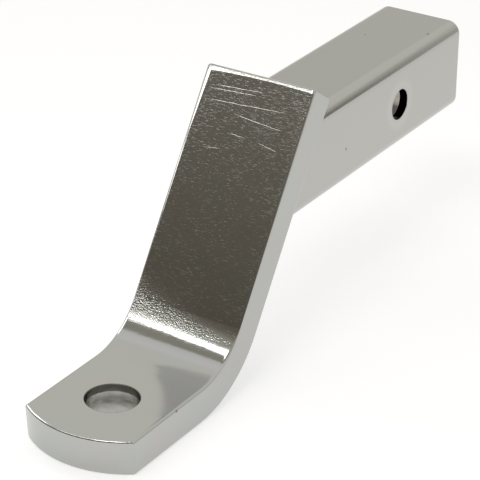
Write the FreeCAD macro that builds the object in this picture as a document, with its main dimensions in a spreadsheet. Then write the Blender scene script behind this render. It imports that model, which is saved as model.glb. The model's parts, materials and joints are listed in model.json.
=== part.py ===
import FreeCAD, Part
import os
import Sketcher
from enum import IntEnum
from FreeCAD import Placement, Rotation, Vector
from math import asin, atan2, cos, pi, radians, sin

# Drop ball mount for a two-inch receiver: a square-tube shank welded to the back of a bent flat bar.
# The origin is the centre of the hitch-pin hole on the shank's axis. +X lies along the pin, +Y runs back
# along the shank to its open end and +Z is up, so the bar and its ball hole lie towards -Y.
# Lengths are in millimetres and angles in degrees.

# Driving dimensions, each with what it measures
SIZES = [
    ("tube_width", 50.8, "shank across its flats, outside"),
    ("tube_wall", 4.76, "shank wall"),
    ("tube_corner", 7.0, "outside corner radius of the tube"),
    ("tube_inner_corner", 2.4, "inside corner radius of the tube"),
    ("tube_end_bevel", 0.8, "bevel of the open end's rims"),
    ("pin_hole", 16.7, "diameter of the hitch-pin hole"),
    ("pin_rim_bevel", 0.25, "deburring bevel of the pin hole's outer rims"),
    ("pin_to_end", 66.7, "pin hole's centre back to the open end"),
    ("bar_width", 63.5, "flat bar across"),
    ("bar_thickness", 19.05, "flat bar through"),
    ("bar_edge", 2.0, "rolled edge radius along the bar"),
    ("bend_radius", 40.0, "inside of the bend"),
    ("limb_angle", 57.0, "slope of the bar's limb above level"),
    ("limb_rise", 10.0, "back of the limb's end above the shank's top"),
    ("limb_end_edge", 1.8, "rounding of the limb's cut end"),
    ("drop", 101.6, "shank's top down to the platform's top"),
    ("pin_to_ball", 232.0, "pin hole's centre forward to the ball hole's centre"),
    ("ball_to_bend", 30.0, "ball hole's centre back to the start of the bend"),
    ("ball_to_nose", 38.3, "ball hole's centre forward to the tip of the nose"),
    ("ball_hole", 27.0, "diameter of the ball hole"),
    ("ball_rim_bevel", 0.25, "deburring bevel of the ball hole's rims"),
    ("nose_radius", 52.0, "nose of the platform, seen from above"),
    ("nose_lean", 5.5, "lean of the nose's sheared face, back towards the underside"),
    ("nose_edge", 1.0, "rounding of the nose's cut edges"),
    ("saw_allowance", 2.0, "stock beyond a cut, taken away by it"),
    ("weld_leg", 5.5, "weld along the tube, and up and down the bar"),
    ("weld_side_leg", 4.2, "weld across the bar, beside the tube"),
    ("weld_toe", 0.4, "weld's thickness where it fades out on the tube"),
    ("weld_crown", 0.6, "bulge of the weld's face"),
]

# Derived lengths, as formulas on the sheet; forward lengths count from the pin hole towards -Y
ANGLE = "(sizes.limb_angle * 1 deg)"
PLATFORM_DEPTH = "(sizes.drop - sizes.tube_width / 2)"
NOSE_FORWARD = "(sizes.pin_to_ball + sizes.ball_to_nose)"
STOCK_FORWARD = f"({NOSE_FORWARD} + sizes.saw_allowance)"
BEND_FORWARD = "(sizes.pin_to_ball - sizes.ball_to_bend)"
# the corner that the bar's front faces would make without the bend
CORNER_FORWARD = f"({BEND_FORWARD} - sizes.bend_radius * tan({ANGLE} / 2))"
# where the back of the limb crosses the shank's axis, and where the mitre cut leaves the tube below it
MITRE_FORWARD = (
    f"({CORNER_FORWARD} - (sizes.bar_thickness + {PLATFORM_DEPTH} * cos({ANGLE})) / sin({ANGLE}))"
)
MITRE_REACH = "(sizes.tube_width / 2 + sizes.saw_allowance)"
MITRE_FOOT_FORWARD = f"({MITRE_FORWARD} + {MITRE_REACH} / tan({ANGLE}))"
# the tube's height along the sloping back of the limb
TUBE_SLOPE_HEIGHT = f"(sizes.tube_width / sin({ANGLE}))"

# The property that sizes each kind of worked edge
DRESSED_BY = {"Fillet": "Radius", "Chamfer": "Size"}

# Lengths closer than this are the same
TOLERANCE = 1e-6


class Spot(IntEnum):
    """Points on a line, arc or circle, as a sketch's constraints number them."""

    START = 1
    END = 2
    CENTRE = 3


class Axis(IntEnum):
    """A sketch's own axes, as its constraints number them."""

    LEVEL = -1
    UPRIGHT = -2


START, END, CENTRE = Spot
ORIGIN = (Axis.LEVEL, START)

doc = FreeCAD.newDocument("ball_mount")


def fill_sheet():
    """The sheet that drives every size of the part."""
    sheet = doc.addObject("Spreadsheet::Sheet", "sizes")
    for row, (name, value, meaning) in enumerate(SIZES, 1):
        sheet.set(f"A{row}", name)
        sheet.set(f"B{row}", str(value))
        sheet.set(f"C{row}", meaning)
        sheet.setAlias(f"B{row}", name)
    doc.recompute()
    return sheet


sizes = fill_sheet()


def size(name):
    return float(sizes.get(name))


# Bodies, sketches and features
def new_body(name):
    body = doc.addObject("PartDesign::Body", name)
    body.Label = name
    return body


def new_sketch(body, name, role):
    """A sketch on one of the body's own origin planes."""
    sketch = body.newObject("Sketcher::SketchObject", name)
    plane = next(feature for feature in body.Origin.OriginFeatures if feature.Role == role)
    sketch.AttachmentSupport = [(plane, "")]
    sketch.MapMode = "FlatFace"
    return sketch


def tilt(sketch, degrees, formula):
    """Turns a sketch about its own level axis by an angle that follows a formula."""
    sketch.AttachmentOffset = Placement(Vector(0, 0, 0), Rotation(Vector(1, 0, 0), degrees))
    sketch.setExpression("AttachmentOffset.Rotation.Angle", formula)


def pocket_both_ways(body, name, sketch):
    """A cut through everything on both sides of its sketch; it has to take material away."""
    before = body.Shape.Volume
    pocket = body.newObject("PartDesign::Pocket", name)
    pocket.Profile = sketch
    pocket.Type = "ThroughAll"
    pocket.SideType = "Symmetric"
    doc.recompute()
    if not pocket.Shape.Volume < before:
        raise RuntimeError(name + " cuts nothing")
    return pocket


def dress_edges(body, kind, name, base, edges, formula):
    """Works the given edges of the body's last feature into roundings or bevels of one size."""
    names = [
        f"Edge{number}"
        for number, edge in enumerate(base.Shape.Edges, 1)
        if any(edge.isSame(chosen) for chosen in edges)
    ]
    dressing = body.newObject("PartDesign::" + kind, name)
    dressing.Base = (base, names)
    dressing.setExpression(DRESSED_BY[kind], formula)
    doc.recompute()
    return dressing


# Sketch geometry and its constraints
def add_line(sketch, first, second):
    return sketch.addGeometry(Part.LineSegment(Vector(*first, 0), Vector(*second, 0)), False)


def add_circle(sketch, centre, radius):
    return sketch.addGeometry(Part.Circle(Vector(*centre, 0), Vector(0, 0, 1), radius), False)


def add_arc(sketch, centre, radius, first_angle, last_angle):
    """An arc that runs anticlockwise between two angles in radians."""
    circle = Part.Circle(Vector(*centre, 0), Vector(0, 0, 1), radius)
    return sketch.addGeometry(Part.ArcOfCircle(circle, first_angle, last_angle), False)


def relate(sketch, kind, *places):
    """A constraint without a size, such as a tangency."""
    sketch.addConstraint(Sketcher.Constraint(kind, *places))


def bind(sketch, name, formula, constraint):
    """A named dimension that follows a formula on the sheet."""
    index = sketch.addConstraint(constraint)
    sketch.renameConstraint(index, name)
    sketch.setExpression("Constraints." + name, formula)


def bind_across(sketch, name, formula, first, second):
    """The level distance from the first point to the second."""
    drawn = sketch.getPoint(*second).x - sketch.getPoint(*first).x
    bind(sketch, name, formula, Sketcher.Constraint("DistanceX", *first, *second, drawn))


def bind_up(sketch, name, formula, first, second):
    """The upright distance from the first point to the second."""
    drawn = sketch.getPoint(*second).y - sketch.getPoint(*first).y
    bind(sketch, name, formula, Sketcher.Constraint("DistanceY", *first, *second, drawn))


def bind_radius(sketch, name, formula, index):
    drawn = sketch.Geometry[index].Radius
    bind(sketch, name, formula, Sketcher.Constraint("Radius", index, drawn))


def bind_slope(sketch, name, formula, index):
    """A line's angle above level."""
    run = sketch.getPoint(index, END) - sketch.getPoint(index, START)
    bind(sketch, name, formula, Sketcher.Constraint("Angle", index, atan2(run.y, run.x)))


def rounded_rectangle(sketch, name, width, height, top, radius):
    """A level rectangle with round corners, centred on the sketch's vertical axis.

    The four sizes are formulas; top is the height of the upper side. It is drawn anticlockwise as side,
    corner, side, corner, from the right-hand side, at the tube's size.
    """
    reach = size("tube_width") / 2
    corner = size("tube_corner")
    flat = reach - corner
    sides, corners = [], []
    for quarter in range(4):
        turn = quarter * pi / 2
        along = Vector(cos(turn), sin(turn), 0)
        ahead = Vector(-sin(turn), cos(turn), 0)
        first = along * reach - ahead * flat
        last = along * reach + ahead * flat
        centre = along * flat + ahead * flat
        sides.append(add_line(sketch, (first.x, first.y), (last.x, last.y)))
        corners.append(add_arc(sketch, (centre.x, centre.y), corner, turn, turn + pi / 2))
    right, upper, left, lower = sides
    for quarter in range(4):
        relate(sketch, "Tangent", sides[quarter], END, corners[quarter], START)
        relate(sketch, "Tangent", corners[quarter], END, sides[(quarter + 1) % 4], START)
    relate(sketch, "Vertical", right)
    relate(sketch, "Vertical", left)
    relate(sketch, "Horizontal", lower)
    relate(sketch, "Symmetric", upper, START, upper, END, Axis.UPRIGHT)
    for other in corners[1:]:
        relate(sketch, "Equal", corners[0], other)
    bind_radius(sketch, name + "_corner", radius, corners[0])
    bind_across(sketch, name + "_width", width, (left, START), (right, START))
    bind_up(sketch, name + "_height", height, (lower, START), (upper, START))
    bind_up(sketch, name + "_top", top, ORIGIN, (upper, START))


# Finding faces and edges by their form
def round_faces(shape, axis, diameter):
    """The cylindrical faces about an axis direction with a given diameter."""
    return [
        face
        for face in shape.Faces
        if isinstance(face.Surface, Part.Cylinder)
        and face.Surface.Axis.cross(axis).Length < TOLERANCE
        and abs(2 * face.Surface.Radius - diameter) < TOLERANCE
    ]


def flat_faces(shape, normal):
    """The flat faces that look along a direction."""
    return [
        face
        for face in shape.Faces
        if isinstance(face.Surface, Part.Plane) and face.normalAt(0, 0).isEqual(normal, TOLERANCE)
    ]


def edges_of(faces):
    return [edge for face in faces for edge in face.Edges]


def circles_of(faces):
    return [edge for edge in edges_of(faces) if isinstance(edge.Curve, Part.Circle)]


def draw_tube_outside(sketch):
    """The shank's outside, seen along its axis."""
    width = "sizes.tube_width"
    rounded_rectangle(sketch, "outside", width, width, "sizes.tube_width / 2", "sizes.tube_corner")


def make_shank():
    """Square tube: padded section, mitred front end, pin hole through both side walls, bevelled rims."""
    body = new_body("shank")
    section = new_sketch(body, "tube_section", "XZ_Plane")
    draw_tube_outside(section)
    bore_width = "sizes.tube_width - 2 * sizes.tube_wall"
    bore_top = "sizes.tube_width / 2 - sizes.tube_wall"
    rounded_rectangle(section, "inside", bore_width, bore_width, bore_top, "sizes.tube_inner_corner")
    tube = body.newObject("PartDesign::Pad", "tube")
    tube.Profile = section
    tube.SideType = "Two sides"
    tube.setExpression("Length", MITRE_FOOT_FORWARD)
    tube.setExpression("Length2", "sizes.pin_to_end")
    doc.recompute()

    mitre = new_sketch(body, "mitre_cut", "YZ_Plane")
    draw_mitre(mitre)
    pocket_both_ways(body, "mitre", mitre)

    pin_circle = new_sketch(body, "pin_circle", "YZ_Plane")
    circle = add_circle(pin_circle, (0, 0), size("pin_hole") / 2)
    relate(pin_circle, "Coincident", circle, CENTRE, *ORIGIN)
    bind_radius(pin_circle, "pin_radius", "sizes.pin_hole / 2", circle)
    pin_hole = pocket_both_ways(body, "pin_hole", pin_circle)

    side = size("tube_width") / 2
    bores = round_faces(pin_hole.Shape, Vector(1, 0, 0), size("pin_hole"))
    rims = [edge for edge in circles_of(bores) if abs(abs(edge.Curve.Center.x) - side) < TOLERANCE]
    pin_rims = dress_edges(body, "Chamfer", "pin_rims", pin_hole, rims, "sizes.pin_rim_bevel")
    end_edges = edges_of(flat_faces(pin_rims.Shape, Vector(0, 1, 0)))
    dress_edges(body, "Chamfer", "open_end_rims", pin_rims, end_edges, "sizes.tube_end_bevel")
    return body


def draw_mitre(sketch):
    """Everything in front of the limb's back face, seen from the side: four lines, front upright last."""
    reach = size("tube_width")
    back = -size("pin_to_ball") / 2
    front = back - 2 * reach
    slope = add_line(sketch, (back - reach / 2, -reach), (back + reach / 2, reach))
    upper = add_line(sketch, (back + reach / 2, reach), (front, reach))
    upright = add_line(sketch, (front, reach), (front, -reach))
    lower = add_line(sketch, (front, -reach), (back - reach / 2, -reach))
    loop = [slope, upper, upright, lower]
    for first, second in zip(loop, loop[1:] + loop[:1]):
        relate(sketch, "Coincident", first, END, second, START)
    relate(sketch, "Horizontal", upper)
    relate(sketch, "Horizontal", lower)
    relate(sketch, "Vertical", upright)
    bind_slope(sketch, "mitre_slope", ANGLE, slope)
    bind_up(sketch, "reach_below", MITRE_REACH, (slope, START), ORIGIN)
    bind_up(sketch, "reach_above", MITRE_REACH, ORIGIN, (slope, END))
    bind_across(sketch, "foot_forward", MITRE_FOOT_FORWARD, (slope, START), ORIGIN)
    past_the_tube = f"{MITRE_FOOT_FORWARD} + sizes.saw_allowance"
    bind_across(sketch, "past_the_tube", past_the_tube, (upright, START), ORIGIN)


def draw_bar_line(sketch):
    """The bar's front face seen from the side: level platform, bend, sloping limb."""
    slope = radians(size("limb_angle"))
    bend = size("bend_radius")
    level = size("tube_width") / 2 - size("drop")
    bend_start = size("ball_to_bend") - size("pin_to_ball")
    nose = -size("pin_to_ball") - size("ball_to_nose")
    bend_end = (bend_start + bend * sin(slope), level + bend * (1 - cos(slope)))
    limb_end = (bend_end[0] + size("drop") * cos(slope), bend_end[1] + size("drop") * sin(slope))
    platform = add_line(sketch, (nose, level), (bend_start, level))
    turn = add_arc(sketch, (bend_start, level + bend), bend, -pi / 2, slope - pi / 2)
    limb = add_line(sketch, bend_end, limb_end)
    relate(sketch, "Horizontal", platform)
    relate(sketch, "Tangent", platform, END, turn, START)
    relate(sketch, "Tangent", turn, END, limb, START)
    bind_radius(sketch, "inside_bend", "sizes.bend_radius", turn)
    bind_slope(sketch, "limb_slope", ANGLE, limb)
    bind_up(sketch, "platform_depth", PLATFORM_DEPTH, (platform, START), ORIGIN)
    bind_across(sketch, "stock_forward", STOCK_FORWARD, (platform, START), ORIGIN)
    bind_across(sketch, "bend_forward", BEND_FORWARD, (platform, END), ORIGIN)
    limb_top = f"sizes.tube_width / 2 + sizes.limb_rise + sizes.bar_thickness * cos({ANGLE})"
    bind_up(sketch, "limb_top", limb_top, ORIGIN, (limb, END))


def draw_nose_cut(sketch):
    """Everything ahead of the nose's arc, seen along the cut; the sketch's origin is the nose's tip."""
    reach = size("bar_width") / 2 + size("saw_allowance")
    bend = size("nose_radius")
    half_turn = asin(reach / bend)
    shoulder = bend - bend * cos(half_turn)
    front = -size("bar_thickness")
    nose = add_arc(sketch, (0, bend), bend, -pi / 2 - half_turn, -pi / 2 + half_turn)
    right = add_line(sketch, (reach, shoulder), (reach, front))
    ahead = add_line(sketch, (reach, front), (-reach, front))
    left = add_line(sketch, (-reach, front), (-reach, shoulder))
    relate(sketch, "Coincident", nose, END, right, START)
    relate(sketch, "Coincident", right, END, ahead, START)
    relate(sketch, "Coincident", ahead, END, left, START)
    relate(sketch, "Coincident", left, END, nose, START)
    relate(sketch, "Vertical", right)
    relate(sketch, "Vertical", left)
    relate(sketch, "Horizontal", ahead)
    relate(sketch, "Horizontal", nose, START, nose, END)
    relate(sketch, "PointOnObject", nose, CENTRE, Axis.UPRIGHT)
    bind_radius(sketch, "nose_arc", "sizes.nose_radius", nose)
    bind_up(sketch, "nose_centre", "sizes.nose_radius", ORIGIN, (nose, CENTRE))
    cut_width = "sizes.bar_width + 2 * sizes.saw_allowance"
    bind_across(sketch, "cut_width", cut_width, (left, START), (right, START))
    bind_up(sketch, "cut_front", "sizes.bar_thickness + sizes.saw_allowance", (ahead, START), ORIGIN)


def make_tongue():
    """Flat bar swept along its bend, then a round nose, the ball hole and worked cut edges."""
    body = new_body("tongue")
    bar_line = new_sketch(body, "bar_line", "YZ_Plane")
    draw_bar_line(bar_line)
    section = new_sketch(body, "bar_section", "XZ_Plane")
    rounded_rectangle(
        section, "bar", "sizes.bar_width", "sizes.bar_thickness", f"-{PLATFORM_DEPTH}", "sizes.bar_edge"
    )
    section.setExpression("AttachmentOffset.Base.z", STOCK_FORWARD)
    doc.recompute()
    bar = body.newObject("PartDesign::AdditivePipe", "bent_bar")
    bar.Profile = section
    bar.Spine = bar_line
    doc.recompute()

    nose_cut = new_sketch(body, "nose_cut", "XY_Plane")
    tilt(nose_cut, size("nose_lean"), "sizes.nose_lean")
    nose_cut.setExpression("AttachmentOffset.Base.y", f"-{NOSE_FORWARD}")
    nose_cut.setExpression("AttachmentOffset.Base.z", f"-{PLATFORM_DEPTH}")
    draw_nose_cut(nose_cut)
    pocket_both_ways(body, "nose", nose_cut)

    ball_circle = new_sketch(body, "ball_circle", "XY_Plane")
    circle = add_circle(ball_circle, (0, -size("pin_to_ball")), size("ball_hole") / 2)
    relate(ball_circle, "PointOnObject", circle, CENTRE, Axis.UPRIGHT)
    bind_up(ball_circle, "ball_forward", "sizes.pin_to_ball", (circle, CENTRE), ORIGIN)
    bind_radius(ball_circle, "ball_radius", "sizes.ball_hole / 2", circle)
    ball_hole = pocket_both_ways(body, "ball_hole", ball_circle)

    lean = radians(size("nose_lean"))
    nose = round_faces(ball_hole.Shape, Vector(0, -sin(lean), cos(lean)), 2 * size("nose_radius"))
    nose_edges = dress_edges(body, "Fillet", "nose_edges", ball_hole, edges_of(nose), "sizes.nose_edge")
    slope = radians(size("limb_angle"))
    end_edges = edges_of(flat_faces(nose_edges.Shape, Vector(0, cos(slope), sin(slope))))
    limb_end = dress_edges(body, "Fillet", "limb_end", nose_edges, end_edges, "sizes.limb_end_edge")
    rims = circles_of(round_faces(limb_end.Shape, Vector(0, 0, 1), size("ball_hole")))
    dress_edges(body, "Chamfer", "ball_rims", limb_end, rims, "sizes.ball_rim_bevel")
    return body


def weld_section(body, name, along, side_leg, slope_leg):
    """The weld's outline on a plane parallel to the back of the limb, some way along the tube."""
    sketch = new_sketch(body, name, "XZ_Plane")
    tilt(sketch, size("limb_angle") - 90, "sizes.limb_angle - 90")
    sketch.setExpression("AttachmentOffset.Base.z", f"{MITRE_FORWARD} - {along}")
    width = f"sizes.tube_width + 2 * ({side_leg})"
    height = f"{TUBE_SLOPE_HEIGHT} + 2 * ({slope_leg})"
    top = f"{TUBE_SLOPE_HEIGHT} / 2 + ({slope_leg})"
    rounded_rectangle(sketch, "weld", width, height, top, f"sizes.tube_corner + {side_leg}")
    return sketch


def make_weld_bead():
    """Fillet weld round the mitred joint: a bulging loft off the limb's back, with the tube taken out."""
    body = new_body("weld_bead")
    middle_side = "(sizes.weld_side_leg + sizes.weld_toe) / 2 + sizes.weld_crown"
    middle_slope = "(sizes.weld_leg + sizes.weld_toe) / 2 + sizes.weld_crown"
    foot = weld_section(body, "weld_foot", "0", "sizes.weld_side_leg", "sizes.weld_leg")
    middle = weld_section(body, "weld_middle", "sizes.weld_leg / 2", middle_side, middle_slope)
    toe = weld_section(body, "weld_toe_line", "sizes.weld_leg", "sizes.weld_toe", "sizes.weld_toe")
    doc.recompute()
    collar = body.newObject("PartDesign::AdditiveLoft", "collar")
    collar.Profile = foot
    collar.Sections = [middle, toe]
    doc.recompute()
    tube = new_sketch(body, "tube_outline", "XZ_Plane")
    draw_tube_outside(tube)
    pocket_both_ways(body, "tube_space", tube)
    return body


def check(bodies):
    """Stops unless every object computed and every sub-part is one sound solid."""
    for item in doc.Objects:
        if "Invalid" in item.State or "Error" in item.State:
            raise RuntimeError(f"{item.Name} did not compute: {item.State}")
    for body in bodies:
        shape = body.Shape
        if shape.isNull() or not shape.isValid() or len(shape.Solids) != 1:
            raise RuntimeError(f"{body.Label} is not one sound solid")


def write(bodies):
    os.makedirs("parts", exist_ok=True)
    for body in bodies:
        body.Shape.exportStep(os.path.join("parts", body.Label + ".step"))
        print(f"{body.Label}: {body.Shape.Volume:.0f} mm3")


sub_parts = [make_shank(), make_tongue(), make_weld_bead()]
doc.recompute()
check(sub_parts)
write(sub_parts)
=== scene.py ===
import json
from math import cos, pi, radians, sin, tan
from random import Random

import bpy
from mathutils import Matrix, Vector


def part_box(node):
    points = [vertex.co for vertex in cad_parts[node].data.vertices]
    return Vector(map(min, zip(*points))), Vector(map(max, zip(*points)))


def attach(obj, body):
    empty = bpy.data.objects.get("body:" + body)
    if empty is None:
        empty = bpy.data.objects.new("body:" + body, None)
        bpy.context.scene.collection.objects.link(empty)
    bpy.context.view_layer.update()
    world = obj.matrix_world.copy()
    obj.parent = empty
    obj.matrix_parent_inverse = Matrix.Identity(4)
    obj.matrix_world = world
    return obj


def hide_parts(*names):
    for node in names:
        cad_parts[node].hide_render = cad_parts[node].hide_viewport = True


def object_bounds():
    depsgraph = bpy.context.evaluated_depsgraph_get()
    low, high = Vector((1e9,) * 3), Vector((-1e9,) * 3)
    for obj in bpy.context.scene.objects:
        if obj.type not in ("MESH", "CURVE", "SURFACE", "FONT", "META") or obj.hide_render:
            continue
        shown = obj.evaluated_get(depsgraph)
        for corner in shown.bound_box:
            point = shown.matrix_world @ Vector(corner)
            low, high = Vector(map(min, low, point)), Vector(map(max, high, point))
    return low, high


# The ball mount, in metres: the origin is the hitch-pin hole, +Y runs back along the shank and +Z is up
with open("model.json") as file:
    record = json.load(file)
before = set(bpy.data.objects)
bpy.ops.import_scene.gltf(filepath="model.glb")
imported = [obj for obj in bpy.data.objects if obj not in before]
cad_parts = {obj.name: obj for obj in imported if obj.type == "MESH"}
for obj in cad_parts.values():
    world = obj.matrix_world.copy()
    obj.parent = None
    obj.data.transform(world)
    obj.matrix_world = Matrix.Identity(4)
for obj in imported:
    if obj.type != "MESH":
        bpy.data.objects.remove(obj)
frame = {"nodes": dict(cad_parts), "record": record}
cad_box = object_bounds()

MM = 0.001

# Places and sizes of the solids, in millimetres
mounts = {mount["name"]: mount for mount in frame["record"]["mounts"]}
BALL_HOLE = Vector(mounts["ball_hole"]["pos_m"]) / MM
BALL_RADIUS = mounts["ball_hole"]["dims"]["r_mm"]
PIN_RADIUS = mounts["hitch_pin_hole"]["dims"]["r_mm"]
PLATFORM_TOP = mounts["ball_seat"]["pos_m"][2] / MM
TUBE_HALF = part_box("shank")[1][0] / MM
TUBE_INSIDE = TUBE_HALF - 4.76
TUBE_CORNER = 7.0
TUBE_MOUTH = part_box("shank")[1][1] / MM
BAR_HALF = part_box("tongue")[1][0] / MM
BAR_EDGE = 2.0
LIMB_END_EDGE = 1.8

# The limb rises back at this slope from the bend, whose middle lies straight out from this centre
LIMB_SLOPE = radians(57)
BEND_CENTRE = Vector((0, -202.0, -36.2))
UP_BEND = Vector((0, cos(LIMB_SLOPE / 2), sin(LIMB_SLOPE / 2)))
UP_LIMB = Vector((0, cos(LIMB_SLOPE), sin(LIMB_SLOPE)))
OUT_OF_LIMB = Vector((0, -sin(LIMB_SLOPE), cos(LIMB_SLOPE)))
# How far the limb's front lies out from the origin, and its top edge up from it
LIMB_FRONT = 109.7
LIMB_TOP = -16.6
# Where the tube's axis meets the back of the limb
JOINT = Vector((0, -108.1, 0))


def linear(colour):
    """An sRGB hex colour as linear red, green and blue with full alpha."""
    channels = [int(colour[start:start + 2], 16) / 255 for start in (1, 3, 5)]
    return [c / 12.92 if c <= 0.04045 else ((c + 0.055) / 1.055) ** 2.4 for c in channels] + [1.0]


def add_node(tree, kind, inputs=None, **settings):
    """Adds a node with its settings, and fills its inputs with values or with other nodes' outputs."""
    node = tree.nodes.new(kind)
    for name, value in settings.items():
        setattr(node, name, value)
    for name, value in (inputs or {}).items():
        if isinstance(value, bpy.types.NodeSocket):
            tree.links.new(value, node.inputs[name])
        else:
            node.inputs[name].default_value = value
    return node


# Operations on values, places and colours, each of them given or another node's output
def calc(tree, operation, first, second=0.0):
    """The result of an operation on one or two values."""
    return add_node(tree, "ShaderNodeMath", {0: first, 1: second}, operation=operation).outputs[0]


def calc_place(tree, operation, first, second=(0, 0, 0)):
    """The result of an operation on one or two places: a place, or a value where it measures something."""
    node = add_node(tree, "ShaderNodeVectorMath", {0: first, 1: second}, operation=operation)
    measures = operation in ("DISTANCE", "DOT_PRODUCT", "LENGTH")
    return node.outputs["Value" if measures else "Vector"]


def axes_of(tree, place):
    """The three coordinates of a place."""
    return add_node(tree, "ShaderNodeSeparateXYZ", {0: place}).outputs


def span(tree, value, start, end, low=0.0, high=1.0, **settings):
    """A value that runs from low to high between start and end, and stays there beyond them."""
    return add_node(
        tree, "ShaderNodeMapRange", {0: value, 1: start, 2: end, 3: low, 4: high}, **settings
    ).outputs[0]


def past(tree, value, start):
    """How far a value lies past a start, and 0 before it."""
    return calc(tree, "MAXIMUM", calc(tree, "SUBTRACT", value, start), 0.0)


def squared(tree, value):
    return calc(tree, "MULTIPLY", value, value)


def bell(tree, along, middle, reach):
    """A smooth hump along a distance: 1 at its middle, gone at about twice its reach."""
    share = calc(tree, "DIVIDE", calc(tree, "SUBTRACT", along, middle), reach)
    fall = calc(tree, "MULTIPLY", squared(tree, share), -1.0)
    return calc(tree, "EXPONENT", fall)


def noise(tree, place, scale, detail):
    """Soft grains from 0 to 1, so many to a millimetre as the scale says."""
    return add_node(
        tree, "ShaderNodeTexNoise", {"Vector": place, "Scale": scale, "Detail": detail}
    ).outputs[0]


def layered(tree, base, layers):
    """A base value with layers added to it, each an output times its depth."""
    total = base
    for layer, depth in layers:
        total = add_node(
            tree, "ShaderNodeMath", {0: layer, 1: depth, 2: total}, operation="MULTIPLY_ADD"
        ).outputs[0]
    return total


def mixed(tree, share, first, second):
    """A colour that goes from the first to the second as the share goes from 0 to 1."""
    return add_node(
        tree, "ShaderNodeMix", {"Factor": share, 6: first, 7: second}, data_type="RGBA"
    ).outputs[2]


def pits(tree, place, spots):
    """Small round pits in the plating, 1 at their middles: each spot is a place and a radius."""
    deepest = 0.0
    for spot, radius in spots:
        away = calc_place(tree, "DISTANCE", place, spot)
        depth = span(tree, away, 0.0, radius, 1.0, 0.0)
        deepest = calc(tree, "MAXIMUM", depth, deepest)
    return deepest


# Finishes
def new_finish(name):
    """An empty material, its node tree and the place on the piece in millimetres."""
    material = bpy.data.materials.new(name)
    material.use_nodes = True
    tree = material.node_tree
    tree.nodes.clear()
    place = add_node(tree, "ShaderNodeTexCoord").outputs["Object"]
    place_mm = add_node(tree, "ShaderNodeVectorMath", {0: place, "Scale": 1 / MM}, operation="SCALE")
    return material, tree, place_mm.outputs[0]


def plate(tree, colour, roughness, relief, pressed=None):
    """The chrome itself, over a relief whose height is in millimetres and any shape pressed in before it."""
    bump = add_node(tree, "ShaderNodeBump", {"Strength": 1.0, "Distance": MM, "Height": relief})
    if pressed:
        tree.links.new(pressed, bump.inputs["Normal"])
    metal = add_node(
        tree,
        "ShaderNodeBsdfPrincipled",
        {"Base Color": colour, "Metallic": 1.0, "Roughness": roughness, "Normal": bump.outputs[0]},
    )
    add_node(tree, "ShaderNodeOutputMaterial", {"Surface": metal.outputs[0]})


# The limb's top and left edges as ground off by hand, in millimetres: how far in from the edge each reaches,
# how far the top one is bowed, how far down the left one runs, and the slope of each
TOP_REACH_LEFT = BAR_EDGE + 0.6
TOP_REACH_RIGHT = BAR_EDGE - 0.4
TOP_BOW = 1.0
TOP_SLOPE = 0.164
LEFT_REACH = BAR_EDGE + 1.5
LEFT_LENGTH = 75.0
LEFT_SLOPE = 0.32


def ground_edges(tree, across, down):
    """The layers of height that the two ground edges take off the limb's front."""
    # Along the top, widest at the left and narrowest in the middle
    reach = span(tree, across, -BAR_HALF, BAR_HALF, TOP_REACH_LEFT, TOP_REACH_RIGHT)
    bow = squared(tree, calc(tree, "DIVIDE", across, BAR_HALF))
    top = past(tree, layered(tree, reach, [(bow, TOP_BOW)]), down)
    # The same slope carries on over the inner half of the end's rounding
    half = LIMB_END_EDGE / 2
    end = squared(tree, span(tree, down, LIMB_END_EDGE, half, 0.0, half))
    # Down the left, running out towards the bend
    reach = span(tree, down, 0.0, LEFT_LENGTH, LEFT_REACH, 0.0)
    left = past(tree, reach, calc(tree, "ADD", across, BAR_HALF))
    return [(top, -TOP_SLOPE), (end, 0.5 / LIMB_END_EDGE), (left, -LEFT_SLOPE)]


# The set that pressing left along the inside of the bend: the lift of the nose, as a slope, then the places
# where the bar's curve changes, in millimetres up from the bend's middle, and each change per millimetre
NOSE_LIFT = -0.0273
BEND_SET = [(-46.0, 0.00305), (-19.1, -0.02775), (-12.7, 0.0145), (-6.9, 0.02845), (2.0, -0.01825)]
# The mesh's first facet of the bend, which turns half its angle at once
FACET_START = -19.08
FACET_END = -16.71
FACET_STEP = 0.0373
# Where the squeezed steel starts, up from the bend's middle, and how far up it shows at the bar's two edges
PEEL_START = 9.0
PEEL_LEFT = 17.0
PEEL_RIGHT = 3.0


def squeezed_steel(tree, place, across, from_bend):
    """The layers of height that the bend left in the steel along its fold."""
    # Grains of 0.7 mm, coarser than real ones so that they show, deeper and reaching higher at the left
    extent = span(tree, across, -BAR_HALF, BAR_HALF, PEEL_LEFT, PEEL_RIGHT)
    share = calc(tree, "DIVIDE", calc(tree, "SUBTRACT", from_bend, PEEL_START), extent)
    squeezed = calc(tree, "MULTIPLY", bell(tree, share, 0.6, 0.45), extent)
    peel = calc(tree, "MULTIPLY", noise(tree, place, 1.4, 1.0), squeezed)
    # Blotches of 3 mm all over the bend
    folded = bell(tree, from_bend, 4.0, 14.0)
    blotches = calc(tree, "MULTIPLY", noise(tree, place, 0.3, 1.0), folded)
    # The fold comes lower on the right of the bar than on the left
    step = calc(tree, "TANH", span(tree, from_bend, 1.0, 19.0, -1.0, 1.0, clamp=False))
    askew = calc(tree, "MULTIPLY", step, across)
    return [(peel, 0.022), (blotches, 0.04), (askew, 0.015)]


def bend_set(tree, from_bend):
    """The layers of height by which the bar is off its true curve, and the mesh's first facet evened out."""
    layers = [(from_bend, NOSE_LIFT)]
    for start, change in BEND_SET:
        layers.append((squared(tree, past(tree, from_bend, start)), change / 2))
    facet = span(tree, from_bend, FACET_START, FACET_END)
    step_back = FACET_STEP * (FACET_END - FACET_START)
    return layers + [(facet, -step_back), (squared(tree, facet), step_back / 2)]


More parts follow.
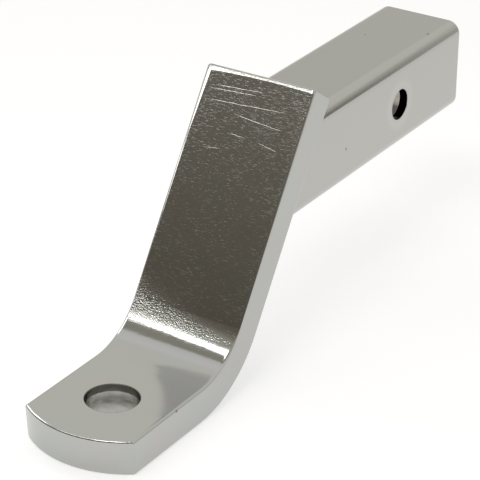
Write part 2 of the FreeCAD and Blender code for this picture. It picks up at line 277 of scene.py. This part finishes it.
def pressed_shape(tree, place, across, down):
    """The bar's normals as the press and the grinder left its faces, with its two sides left true."""
    up = calc_place(tree, "DOT_PRODUCT", place, UP_BEND)
    from_bend = calc(tree, "SUBTRACT", up, BEND_CENTRE.dot(UP_BEND))
    layers = squeezed_steel(tree, place, across, from_bend)
    layers += ground_edges(tree, across, down)
    layers += bend_set(tree, from_bend)
    height = layered(tree, 0.0, layers)
    normal = add_node(tree, "ShaderNodeNewGeometry").outputs["Normal"]
    sideways = calc(tree, "ABSOLUTE", axes_of(tree, normal)["X"])
    on_face = span(tree, sideways, 0.5, 0.9, 1.0, 0.0)
    pressed = add_node(tree, "ShaderNodeBump", {"Strength": on_face, "Distance": MM, "Height": height})
    return pressed.outputs[0]


# Long scratches on the upper limb, in millimetres and degrees: middle across the bar, middle down from the
# limb's top edge, length, lean
SCRATCHES = [
    (-9.5, 9.0, 27.0, -3.7),
    (-12.5, 11.2, 29.0, -3.4),
    (-3.5, 16.5, 47.0, -3.4),
    (6.0, 23.2, 29.0, 4.6),
    (-2.3, 32.2, 10.5, 2.2),
    (15.7, 33.9, 13.0, 8.8),
    (-14.0, 41.1, 10.0, -8.0),
]
SCRATCH_HALF_WIDTH = 0.22
SCRATCH_WANDER = 0.7
# The higher, the later a scratch fades towards its ends
SCRATCH_FADE = 4.0


def scratch_marks(tree, place, across, down):
    """The long scratches, 1 along their middles, which wander a little to both sides."""
    wandering = layered(tree, down, [(noise(tree, place, 0.25, 2.0), SCRATCH_WANDER)])
    flat = add_node(tree, "ShaderNodeCombineXYZ", {0: across, 1: wandering}).outputs[0]
    nearest = 1.0
    for middle, depth, length, lean in SCRATCHES:
        lying = add_node(
            tree,
            "ShaderNodeMapping",
            {
                "Vector": flat,
                "Location": (middle, depth + SCRATCH_WANDER / 2, 0),
                "Rotation": (0, 0, radians(lean)),
                "Scale": (length / 2, SCRATCH_HALF_WIDTH, 1),
            },
            vector_type="TEXTURE",
        ).outputs[0]
        off = axes_of(tree, calc_place(tree, "ABSOLUTE", lying))
        ends = calc(tree, "POWER", off["X"], SCRATCH_FADE)
        nearest = calc(tree, "MINIMUM", calc(tree, "MAXIMUM", ends, off["Y"]), nearest)
    return calc(tree, "SUBTRACT", 1.0, nearest)


def scuff_marks(tree, place, across, down):
    """Scuffs of 2.5 mm by 0.3 mm along the belt lines, in patches of 30 mm, from 0 to 1."""
    drawn = calc_place(tree, "MULTIPLY", place, (0.4, 3.2, 3.2))
    grain = noise(tree, drawn, 1.0, 1.0)
    patches = noise(tree, place, 0.033, 2.0)
    # Thickest high up and towards the edges
    low_down = span(tree, down, 0.0, 80.0, -0.03, 0.05)
    from_middle = calc(tree, "ABSOLUTE", across)
    at_edge = span(tree, from_middle, BAR_HALF - 9, BAR_HALF - 2, 0.0, 0.05)
    level = layered(tree, grain, [(patches, 0.14), (low_down, -1.0), (at_edge, 1.0)])
    return span(tree, level, 0.62, 0.78)


def limb_marks(tree, place, across, down):
    """Marks on the front of the limb only: its scratches and its scuffs."""
    out = calc_place(tree, "DOT_PRODUCT", place, OUT_OF_LIMB)
    on_front = add_node(
        tree, "ShaderNodeMath", {0: out, 1: LIMB_FRONT, 2: 0.3}, operation="COMPARE"
    ).outputs[0]
    marks = (scratch_marks(tree, place, across, down), scuff_marks(tree, place, across, down))
    return [calc(tree, "MULTIPLY", mark, on_front) for mark in marks]


# The ball hole's punched wall, in millimetres below the platform's top: where the punch stopped shearing and
# the wall is torn, and the middle and the reach of the grime and painted shade on it
SHEAR_END = 4.0
SHEAR_BLUR = 0.3
GRIME_AND_SHADE_DEPTH = 8.5
GRIME_AND_SHADE_REACH = 4.0
# How far the torn wall widens for each millimetre down, and how far down that goes
FLARE_SLOPE = 0.125
FLARE_LENGTH = 16.0


def hole_marks(tree, place):
    """The ball hole: 1 on its wall, on its rim and on its torn part, and what lies on the torn part."""
    flat = calc_place(tree, "MULTIPLY", calc_place(tree, "SUBTRACT", place, BALL_HOLE), (1, 1, 0))
    radius = calc_place(tree, "LENGTH", flat)
    wall = calc(tree, "LESS_THAN", radius, BALL_RADIUS + 0.4)
    height = axes_of(tree, place)["Z"]
    rim = span(tree, height, PLATFORM_TOP - 0.5, PLATFORM_TOP - 0.2)
    rim = calc(tree, "MULTIPLY", rim, wall)
    shear_end = PLATFORM_TOP - SHEAR_END
    torn = span(tree, height, shear_end + SHEAR_BLUR, shear_end - SHEAR_BLUR)
    torn = calc(tree, "MULTIPLY", torn, wall)
    blotches = calc(tree, "MULTIPLY", noise(tree, place, 0.3, 3.0), torn)
    # A band of grime and painted shade where the punch broke through, in level streaks of 2 mm by 6 mm
    drawn = calc_place(tree, "MULTIPLY", place, (0.33, 0.33, 1))
    streaks = span(tree, noise(tree, drawn, 0.5, 2.0), 0.30, 0.70, 0.6, 1.0)
    grime_and_shade = bell(tree, height, PLATFORM_TOP - GRIME_AND_SHADE_DEPTH, GRIME_AND_SHADE_REACH)
    grime_and_shade = calc(tree, "MULTIPLY", grime_and_shade, streaks)
    grime_and_shade = calc(tree, "MULTIPLY", grime_and_shade, torn)
    # The torn part widens downwards
    flare = span(tree, height, shear_end, shear_end - FLARE_LENGTH, 0.0, FLARE_SLOPE * FLARE_LENGTH)
    flare = calc(tree, "MULTIPLY", flare, wall)
    return wall, rim, torn, blotches, grime_and_shade, flare


# A nick in the upper right edge of the platform: its place and its radius
NICK = ((BAR_HALF, -223.7, PLATFORM_TOP - 1), 1.0)


def make_bar_finish():
    """Bright chrome over belt-ground flat bar.

    The eye sees a mirror with fine lines across the bar, orange peel where the bend squeezed the steel,
    light scuffs and a few long scratches from handling, and a torn wall low in the punched ball hole, whose
    colours carry painted shade on the wall and in the grime band, and painted light on the torn part.
    """
    material, tree, place = new_finish("chrome_plate_on_ground_bar")
    across = axes_of(tree, place)["X"]
    down = calc(tree, "SUBTRACT", LIMB_TOP, calc_place(tree, "DOT_PRODUCT", place, UP_LIMB))

    # Belt lines across the bar, half a millimetre apart, and waves of 20 mm that the belt left
    lines = noise(tree, calc_place(tree, "MULTIPLY", place, (0.05, 1, 1)), 2.0, 2.0)
    waves = noise(tree, place, 0.05, 0.0)
    pressed = pressed_shape(tree, place, across, down)
    scratches, scuffs = limb_marks(tree, place, across, down)
    thin_and_shaded_hole_wall, rim, torn, blotches, grime_and_shade, flare = hole_marks(tree, place)
    nick = pits(tree, place, [NICK])

    heights = [(lines, 0.003), (waves, 0.06), (scratches, -0.032), (scuffs, -0.01)]
    heights += [(blotches, 0.12), (flare, -1.0)]
    relief = layered(tree, 0.0, heights)
    roughness = layered(
        tree, 0.10, [(scratches, 0.15), (scuffs, 0.20), (rim, 0.35), (torn, 0.10), (nick, 0.3)]
    )
    # The plating's tint drifts from warm to green in patches of 25 mm; it is thin and grey in the hole, and
    # the hole's wall is darkened further there as painted shade
    tint = span(tree, noise(tree, place, 0.04, 1.0), 0.38, 0.62)
    colour = mixed(tree, tint, linear("#BBBAB7"), linear("#B9BBB8"))
    shades = {
        # The hole's wall: thin grey plating, darkened further as painted shade
        "#73716B": thin_and_shaded_hole_wall,
        # The torn part: painted light, a colour lighter than the plating for the light that reaches the
        # lower wall
        "#D4D3D0": torn,
        "#A9A7A1": blotches,
        # Grime and painted shade in a band on the torn wall
        "#6A6761": grime_and_shade,
        "#35322E": nick,
    }
    for shade, layer in shades.items():
        colour = mixed(tree, layer, colour, linear(shade))
    plate(tree, colour, roughness, relief, pressed)
    return material


# Pits in the tube's plating: their places and radii
TUBE_PITS = [
    ((18.8, 41.1, TUBE_HALF), 1.2),
    ((TUBE_HALF, -57.1, -4.6), 1.0),
    ((-9.0, 21.0, TUBE_HALF), 0.7),
]
# The plating thins out, and painted shade deepens, between these depths into the tube's mouth
PLATED_UNSHADED_DEPTH = 23
BARE_SHADED_DEPTH = 28


def make_tube_finish():
    """Bright chrome on drawn square tube.

    The eye sees a soft mirror with faint lines along the tube, a painted highlight in a ring round the pin
    hole and a few pits. Inside, where the plating runs thin, it is browner and duller, with stains, and dark
    deep in and in the pin hole, where the dark is bare steel and painted shade.
    """
    material, tree, place = new_finish("chrome_plate_on_drawn_tube")
    axes = axes_of(tree, place)

    # Drawing lines 0.8 mm apart along the tube, peel in grains of 3 mm, waves of 20 mm
    lines = noise(tree, calc_place(tree, "MULTIPLY", place, (1, 0.02, 1)), 1.2, 2.0)
    peel = noise(tree, place, 0.33, 2.0)
    waves = noise(tree, place, 0.05, 0.0)
    pitted = pits(tree, place, TUBE_PITS)

    # A ring outside the pin hole, painted lighter as a painted highlight, and the hole's own wall
    radius = calc_place(tree, "LENGTH", calc_place(tree, "MULTIPLY", place, (0, 1, 1)))
    pin_ring_highlight = bell(tree, radius, PIN_RADIUS + 3.0, 2.5)
    pin_wall = calc(tree, "LESS_THAN", radius, PIN_RADIUS + 0.1)

    # Inside the tube, with stains of 8 mm
    sideways = calc(tree, "ABSOLUTE", axes["X"])
    upright = calc(tree, "ABSOLUTE", axes["Z"])
    farthest = calc(tree, "MAXIMUM", sideways, upright)
    inside = calc(tree, "LESS_THAN", farthest, TUBE_INSIDE + 0.2)
    dull = calc(tree, "MAXIMUM", inside, pin_wall)
    stain = span(tree, noise(tree, place, 0.12, 4.0), 0.40, 0.60)
    bare_and_shaded_deep = span(tree, axes["Y"], TUBE_MOUTH - PLATED_UNSHADED_DEPTH, TUBE_MOUTH - BARE_SHADED_DEPTH)

    # The ring round the pin hole is a painted highlight
    outer = mixed(tree, pin_ring_highlight, linear("#BBBAB6"), linear("#C1C0BC"))
    inner = mixed(tree, stain, linear("#B5B0AA"), linear("#A39C95"))
    # Deep in and in the pin hole, bare steel and painted shade darken the colour
    inner = mixed(tree, bare_and_shaded_deep, inner, linear("#4A403A"))
    colour = mixed(tree, dull, outer, inner)
    colour = mixed(tree, pitted, colour, linear("#5A5650"))
    relief = layered(tree, 0.0, [(lines, 0.002), (peel, 0.006), (waves, 0.06)])
    roughness = layered(tree, 0.11, [(dull, 0.12), (pitted, 0.3)])
    plate(tree, colour, roughness, relief)
    return material


def make_weld_finish():
    """Bright chrome over a weld left as it was laid.

    The eye sees the bead's ripples as rows of small highlights, broken by a fine scale under the plating.
    """
    material, tree, place = new_finish("chrome_plate_on_weld_bead")
    # Scale in grains of 0.6 mm, and dull patches of 6 mm where the plating took badly
    scale = noise(tree, place, 1.6, 2.0)
    patch = span(tree, noise(tree, place, 0.16, 2.0), 0.45, 0.65)
    colour = mixed(tree, patch, linear("#B4B4B1"), linear("#97928A"))
    relief = layered(tree, 0.0, [(scale, 0.04)])
    roughness = layered(tree, 0.14, [(patch, 0.16)])
    plate(tree, colour, roughness, relief)
    return material


# The weld bead: puddles laid one over the next round the tube, in millimetres and degrees
PUDDLES = 92
PUDDLE_RADIUS = 5.8
PUDDLE_SUNK = 1.5
PUDDLE_THICK = 0.40
# The hand's unevenness: how far a puddle strays, as a share of a step, how far it leans back, and its size
PUDDLE_STRAY = 0.12
PUDDLE_LEANS = (16, 28)
PUDDLE_SIZES = (0.95, 1.04)
# A small share of the way round, to look ahead along the joint
AHEAD = 0.0005
# The grain to which the puddles are fused
BEAD_GRAIN = 0.32


def tube_outline(share):
    """The point of the joint a share of the way round the tube, and the way out of the tube there."""
    side = 2 * (TUBE_HALF - TUBE_CORNER)
    quarter = side + TUBE_CORNER * pi / 2
    turns, along = divmod(share * 4 * quarter, quarter)
    if along < side:
        point = Vector((along - side / 2, -TUBE_HALF))
        out = Vector((0, -1))
    else:
        angle = (along - side) / TUBE_CORNER
        out = Vector((sin(angle), -cos(angle)))
        point = Vector((side / 2, -side / 2)) + TUBE_CORNER * out
    for quarter_turn in range(int(turns) % 4):
        point = Vector((-point.y, point.x))
        out = Vector((-out.y, out.x))
    place = JOINT + Vector((point.x, point.y / tan(LIMB_SLOPE), point.y))
    return place, Vector((out.x, 0, out.y))


def cut_away(piece, cutter):
    """Takes the cutter's shape out of the piece and removes the cutter."""
    cut = piece.modifiers.new("cut", "BOOLEAN")
    cut.operation = "DIFFERENCE"
    cut.solver = "EXACT"
    cut.object = cutter
    bpy.ops.object.select_all(action="DESELECT")
    piece.select_set(True)
    bpy.context.view_layer.objects.active = piece
    bpy.ops.object.modifier_apply(modifier=cut.name)
    bpy.data.objects.remove(cutter)


def make_puddle():
    """One flattened drop of weld at the origin."""
    bpy.ops.object.select_all(action="DESELECT")
    bpy.ops.mesh.primitive_uv_sphere_add(segments=24, ring_count=12, radius=PUDDLE_RADIUS * MM)
    drop = bpy.context.object
    bpy.ops.object.mode_set(mode="EDIT")
    bpy.ops.mesh.select_all(action="SELECT")
    bpy.ops.transform.resize(value=(PUDDLE_THICK, 1, 1))
    bpy.ops.object.mode_set(mode="OBJECT")
    return drop


def lay_puddles():
    """The drop, copied round the joint with the small unevenness of a hand and joined to one piece."""
    drop = make_puddle()
    hand = Random(5)
    puddles = [drop]
    for number in range(1, PUDDLES):
        bpy.ops.object.select_all(action="DESELECT")
        drop.select_set(True)
        bpy.context.view_layer.objects.active = drop
        bpy.ops.object.duplicate()
        puddles.append(bpy.context.object)
    for number, puddle in enumerate(puddles):
        share = (number + hand.uniform(-PUDDLE_STRAY, PUDDLE_STRAY)) / PUDDLES % 1
        place, out = tube_outline(share)
        ahead = tube_outline((share + AHEAD) % 1)[0]
        way = (ahead - place).normalized()
        bisector = (out - OUT_OF_LIMB).normalized()
        bisector = (bisector - way * bisector.dot(way)).normalized()
        frame_turn = Matrix((way, bisector, way.cross(bisector))).transposed()
        lean = Matrix.Rotation(radians(hand.uniform(*PUDDLE_LEANS)), 3, "Z")
        size = hand.uniform(*PUDDLE_SIZES)
        place = (place - bisector * PUDDLE_SUNK) * MM
        puddle.matrix_world = Matrix.Translation(place) @ (frame_turn @ lean * size).to_4x4()
    bpy.ops.object.select_all(action="DESELECT")
    for puddle in puddles:
        puddle.select_set(True)
    bpy.context.view_layer.objects.active = drop
    bpy.ops.object.join()
    bpy.ops.object.transform_apply()
    return drop


def make_tube_cutter():
    """The tube's outside, as a block with its four long edges rounded."""
    bpy.ops.object.select_all(action="DESELECT")
    bpy.ops.mesh.primitive_cube_add(size=2 * TUBE_HALF * MM, location=JOINT * MM)
    block = bpy.context.object
    bpy.ops.object.mode_set(mode="EDIT")
    bpy.ops.mesh.select_all(action="SELECT")
    bpy.ops.transform.resize(value=(1, 3, 1))
    bpy.ops.mesh.select_mode(type="EDGE")
    bpy.ops.mesh.select_all(action="DESELECT")
    bpy.ops.object.mode_set(mode="OBJECT")
    for edge in block.data.edges:
        first, second = (block.data.vertices[index].co for index in edge.vertices)
        edge.select = abs(first.y - second.y) > TUBE_HALF * MM
    bpy.ops.object.mode_set(mode="EDIT")
    bpy.ops.mesh.bevel(offset=TUBE_CORNER * MM, segments=16, affect="EDGES")
    bpy.ops.object.mode_set(mode="OBJECT")
    return block


def make_bar_cutter():
    """A block whose one face lies on the back of the limb."""
    size = 4 * TUBE_HALF
    bpy.ops.object.select_all(action="DESELECT")
    bpy.ops.mesh.primitive_cube_add(
        size=size * MM,
        location=(JOINT + OUT_OF_LIMB * size / 2) * MM,
        rotation=(LIMB_SLOPE - pi / 2, 0, 0),
    )
    return bpy.context.object


def make_weld_bead():
    """The fillet weld round the tube's foot: ripples fused to one bead, seated on the tube and the bar."""
    bead = lay_puddles()
    bead.name = "weld_bead_ripples"
    fuse = bead.modifiers.new("fuse", "REMESH")
    fuse.mode = "VOXEL"
    fuse.voxel_size = BEAD_GRAIN * MM
    soften = bead.modifiers.new("soften", "SMOOTH")
    soften.iterations = 3
    for modifier in (fuse, soften):
        bpy.ops.object.modifier_apply(modifier=modifier.name)
    cut_away(bead, make_tube_cutter())
    cut_away(bead, make_bar_cutter())
    bpy.ops.object.shade_smooth_by_angle(angle=radians(40))
    bead.data.materials.clear()
    bead.data.materials.append(make_weld_finish())
    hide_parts("weld_bead")
    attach(bead, "root")


# The studio
def make_floor():
    """White paper under the platform: white where nothing shades it."""
    bpy.ops.object.select_all(action="DESELECT")
    bpy.ops.mesh.primitive_plane_add(size=12.0, location=(0, 0, cad_box[0][2]))
    floor = bpy.context.object
    floor.name = "floor"
    material = bpy.data.materials.new("white_paper_sweep")
    material.use_nodes = True
    tree = material.node_tree
    tree.nodes.clear()
    path = add_node(tree, "ShaderNodeLightPath")
    paper = add_node(tree, "ShaderNodeBsdfDiffuse", {"Color": linear("#C8C8C8")})
    shares = {"Is Camera Ray": 0.56, "Is Glossy Ray": 0.49, "Is Transmission Ray": 0.49}
    glow = layered(tree, 0.0, [(path.outputs[ray], share) for ray, share in shares.items()])
    lift = add_node(tree, "ShaderNodeEmission", {"Color": linear("#FFFFFF"), "Strength": glow})
    both = add_node(tree, "ShaderNodeAddShader", {0: paper.outputs[0], 1: lift.outputs[0]})
    add_node(tree, "ShaderNodeOutputMaterial", {"Surface": both.outputs[0]})
    floor.data.materials.append(material)


def make_reflection_only_card():
    """A painted reflection: a grey card behind on the right, densest at its right foot, that only the
    plating sees and that casts no shadow.
    """
    bpy.ops.object.select_all(action="DESELECT")
    bpy.ops.mesh.primitive_plane_add(size=0.25, location=(0.25, 0.27, 0.12), rotation=(pi / 2, 0, 0))
    card = bpy.context.object
    card.name = "reflection_only_grey_card"
    card.scale.x = 0.88
    bpy.ops.object.transform_apply()
    card.visible_camera = False
    card.visible_diffuse = False
    card.visible_shadow = False
    material, tree, place = new_finish("reflection_only_grey_card")
    axes = axes_of(tree, place)
    # The density paints a darker reflection low down and towards the right
    low = span(tree, axes["Z"], 80.0, 235.0, 1.0, 0.0)
    far = span(tree, axes["X"], 140.0, 330.0, 0.2, 1.0)
    density = calc(tree, "MULTIPLY", low, far)
    grey = add_node(tree, "ShaderNodeBsdfDiffuse", {"Color": linear("#B2B2AB")})
    clear = add_node(tree, "ShaderNodeBsdfTransparent")
    sheet = add_node(tree, "ShaderNodeMixShader", {0: density, 1: clear.outputs[0], 2: grey.outputs[0]})
    add_node(tree, "ShaderNodeOutputMaterial", {"Surface": sheet.outputs[0]})
    card.data.materials.append(material)


# Soft lamps: name, place, the point that each faces, width, height and radiance
SOFTBOXES = [
    ("overhead_softbox", (-0.225, -0.624, 0.892), (-0.225, -0.18, -0.06), 1.05, 0.18, 3.2),
    ("front_softbox", (0.05, -0.62, 0.92), (0.05, -0.20, -0.06), 0.40, 0.30, 4.0),
    ("left_softbox", (-0.210, -0.174, 0.092), (-0.031, -0.11, 0.04), 0.13, 0.10, 3.0),
]


def make_softbox(name, place, aim, width, height, radiance):
    """A soft lamp of a given radiance that faces a point."""
    data = bpy.data.lights.new(name, "AREA")
    data.shape = "RECTANGLE"
    data.size = width
    data.size_y = height
    data.energy = radiance * width * height * pi
    lamp = bpy.data.objects.new(name, data)
    lamp.location = place
    lamp.rotation_euler = (Vector(aim) - Vector(place)).to_track_quat("-Z", "Y").to_euler()
    lamp.visible_camera = False
    bpy.context.scene.collection.objects.link(lamp)


# The studio by height, from the back wall over the ceiling to the dark room behind the camera:
# degrees up from level at the back, and colour
STUDIO = [
    (-6, "#EAEAE6"),
    (0, "#D6D5CE"),
    (28, "#D9D8D3"),
    (32, "#E9E8E1"),
    (62, "#EAE9E4"),
    (76, "#F2F0F3"),
    (92, "#E9E7E3"),
    (97, "#A4A197"),
    (107, "#A4A197"),
    (111, "#C8C6C0"),
    (121, "#C8C8C0"),
    (129, "#B1B0A6"),
    (135, "#959087"),
    (141, "#7E786E"),
    (147, "#656056"),
    (180, "#5A564E"),
]
# The last colour lies just short of the ramp's end
RAMP_END = 0.9999


def make_world():
    """The studio round the object, white to the camera."""
    world = bpy.data.worlds.new("studio")
    world.use_nodes = True
    tree = world.node_tree
    tree.nodes.clear()
    axes = axes_of(tree, add_node(tree, "ShaderNodeTexCoord").outputs["Generated"])
    rise = calc(tree, "ARCTAN2", axes["Z"], axes["Y"])
    ramp = add_node(tree, "ShaderNodeValToRGB", {0: layered(tree, 0.5, [(rise, 0.5 / pi)])})
    stops = ramp.color_ramp.elements
    while len(stops) > 1:
        stops.remove(stops[0])
    stops[0].position = 0.0
    stops[0].color = linear(STUDIO[0][1])
    for degrees, colour in STUDIO:
        stops.new(min(degrees / 360 + 0.5, RAMP_END)).color = linear(colour)

    path = add_node(tree, "ShaderNodeLightPath")
    seen = mixed(tree, path.outputs["Is Camera Ray"], ramp.outputs[0], linear("#FFFFFF"))
    light = add_node(tree, "ShaderNodeBackground", {"Color": seen, "Strength": 1.0})
    add_node(tree, "ShaderNodeOutputWorld", {"Surface": light.outputs[0]})
    bpy.context.scene.world = world


def make_camera():
    """The photograph's viewpoint."""
    data = bpy.data.cameras.new("camera")
    data.lens = 177.2
    data.sensor_width = 36.0
    camera = bpy.data.objects.new("camera", data)
    camera.location = (0.57110, -1.02932, 0.50042)
    camera.rotation_euler = (radians(63.363), radians(-0.679), radians(32.432))
    bpy.context.scene.collection.objects.link(camera)
    bpy.context.scene.camera = camera


for node, finish in (("tongue", make_bar_finish()), ("shank", make_tube_finish())):
    for slot in frame["nodes"][node].material_slots:
        slot.material = finish
make_weld_bead()

make_floor()
make_reflection_only_card()
for softbox in SOFTBOXES:
    make_softbox(*softbox)
make_world()
make_camera()
bpy.context.scene.view_settings.view_transform = "Standard"
